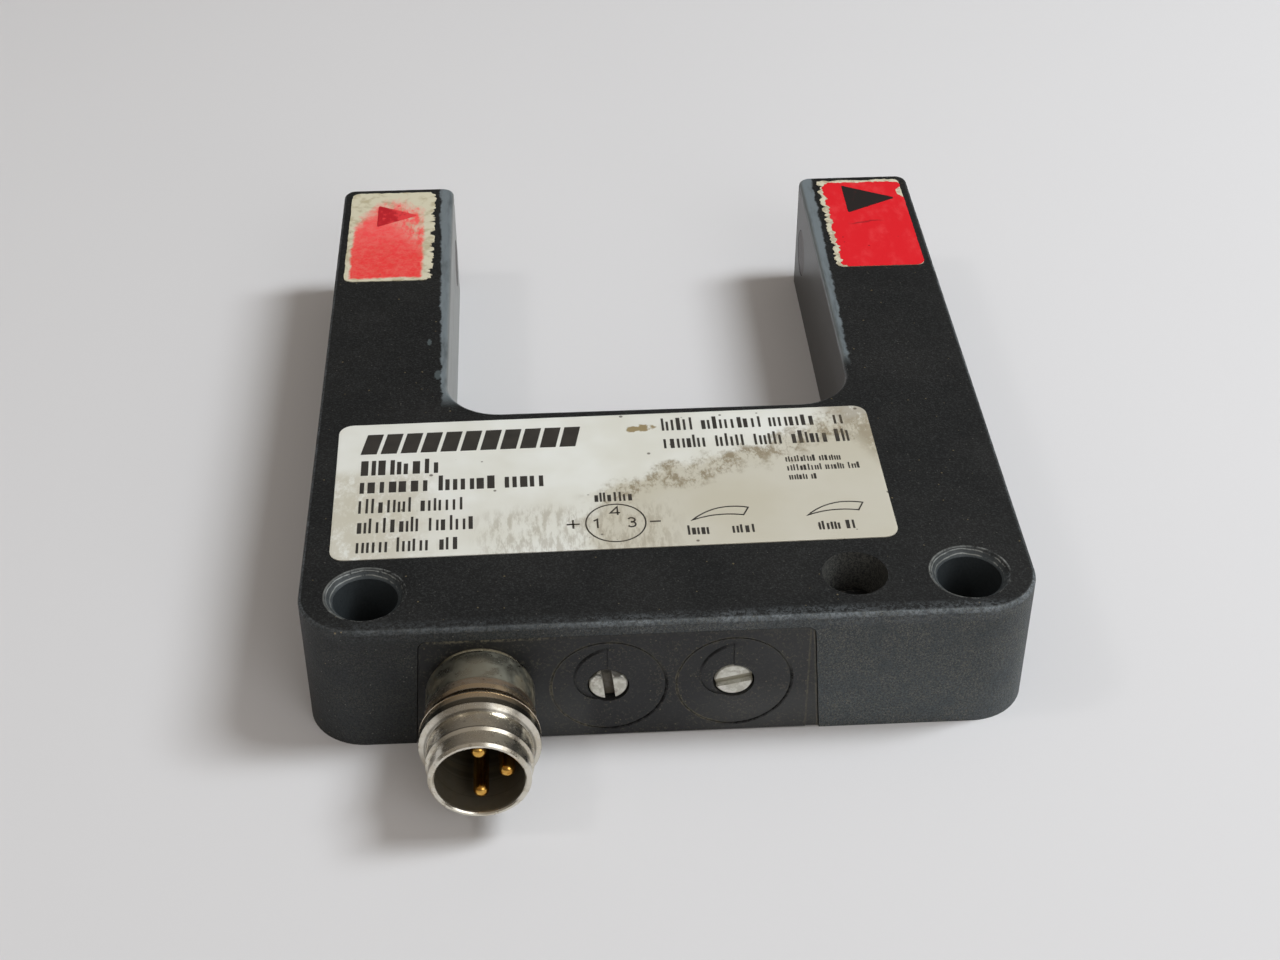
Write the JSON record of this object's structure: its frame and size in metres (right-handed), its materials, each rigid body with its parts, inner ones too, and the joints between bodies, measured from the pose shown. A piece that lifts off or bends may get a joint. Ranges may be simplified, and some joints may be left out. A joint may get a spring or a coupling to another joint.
{
  "type": "photoelectric sensor",
  "caption": "Fork-shaped photoelectric sensor with a through-beam slot between its arms, a round plug-in connector and slotted adjustment trimmers on the front.",
  "frame": {"origin": "midway between the two mounting holes, on the bottom face", "axes": "+X from the emitter arm to the receiver arm, along the row of mounting holes; +Y towards the fork tips, away from the connector; +Z out of the labelled top face"},
  "size_m": [0.0488, 0.0665, 0.0101],
  "materials": {
    "housing_coat": "black satin powder coat on die-cast zinc, worn at the edges",
    "black_plastic": "moulded, dusty",
    "insert_plastic": "dark moulded contact carrier",
    "label_film": "printed film, soiled",
    "emitter_marker_film": "worn vinyl film, red faded to cream",
    "receiver_marker_film": "red vinyl film, worn edge",
    "nickel_plate": "nickel plating, dulled",
    "gold_plate": "gold plating, bright",
    "seal_rubber": "nitrile rubber",
    "trimmer_plastic": "moulded",
    "rotor_plastic": "white moulded plastic, soiled",
    "track_ceramic": "fired substrate",
    "tinned_metal": "tin plate",
    "board_laminate": "solder mask",
    "package_black": "moulded package",
    "capacitor_tantalum": "moulded package",
    "capacitor_ceramic": "fired body",
    "led_package": "diffuse lens",
    "light_pipe_smoke": "smoked light pipe, nearly black when off",
    "window_filter": "dark filter",
    "lens_clear": "clear"
  },
  "bodies": {
    "body": {"bottom_cover": "black_plastic", "capacitors": "capacitor_ceramic", "circuit_board": "board_laminate", "connector_insert": "insert_plastic", "connector_nut": "nickel_plate", "connector_panel": "black_plastic", "connector_seal": "seal_rubber", "connector_shell": "nickel_plate", "contact_pin_1": "gold_plate", "contact_pin_3": "gold_plate", "contact_pin_4": "gold_plate", "controller_chip": "package_black", "controller_legs": "tinned_metal", "emitter_aperture": "tinned_metal", "emitter_carrier": "black_plastic", "emitter_leads": "tinned_metal", "emitter_led": "lens_clear", "emitter_lens": "lens_clear", "emitter_marker": "emitter_marker_film", "emitter_window": "window_filter", "housing": "housing_coat", "light_pipe": "light_pipe_smoke", "mode_trimmer_body": "trimmer_plastic", "mode_trimmer_seal": "seal_rubber", "mode_trimmer_terminals": "tinned_metal", "mode_trimmer_track": "track_ceramic", "output_transistor": "package_black", "receiver_aperture": "tinned_metal", "receiver_carrier": "black_plastic", "receiver_leads": "tinned_metal", "receiver_lens": "lens_clear", "receiver_marker": "receiver_marker_film", "receiver_phototransistor": "window_filter", "receiver_window": "window_filter", "resistors": "package_black", "sensitivity_trimmer_body": "trimmer_plastic", "sensitivity_trimmer_seal": "seal_rubber", "sensitivity_trimmer_terminals": "tinned_metal", "sensitivity_trimmer_track": "track_ceramic", "status_led": "led_package", "storage_capacitor": "capacitor_tantalum", "type_label": "label_film", "voltage_regulator": "package_black"},
    "mode_rotor": {"mode_trimmer_rotor": "rotor_plastic", "mode_trimmer_wiper": "tinned_metal"},
    "sensitivity_rotor": {"sensitivity_trimmer_rotor": "rotor_plastic", "sensitivity_trimmer_wiper": "tinned_metal"}
  },
  "joints": [
    {"name": "mode_trimmer", "type": "hinge", "parent": "body", "child": "mode_rotor", "pos_m": [-0.00425, -0.0035, 0.0045], "axis": [0, 1, 0], "range_deg": [-129, 141]},
    {"name": "sensitivity_trimmer", "type": "hinge", "parent": "body", "child": "sensitivity_rotor", "pos_m": [0.00405, -0.0035, 0.0045], "axis": [0, 1, 0], "range_deg": [-213, 57]}
  ]
}
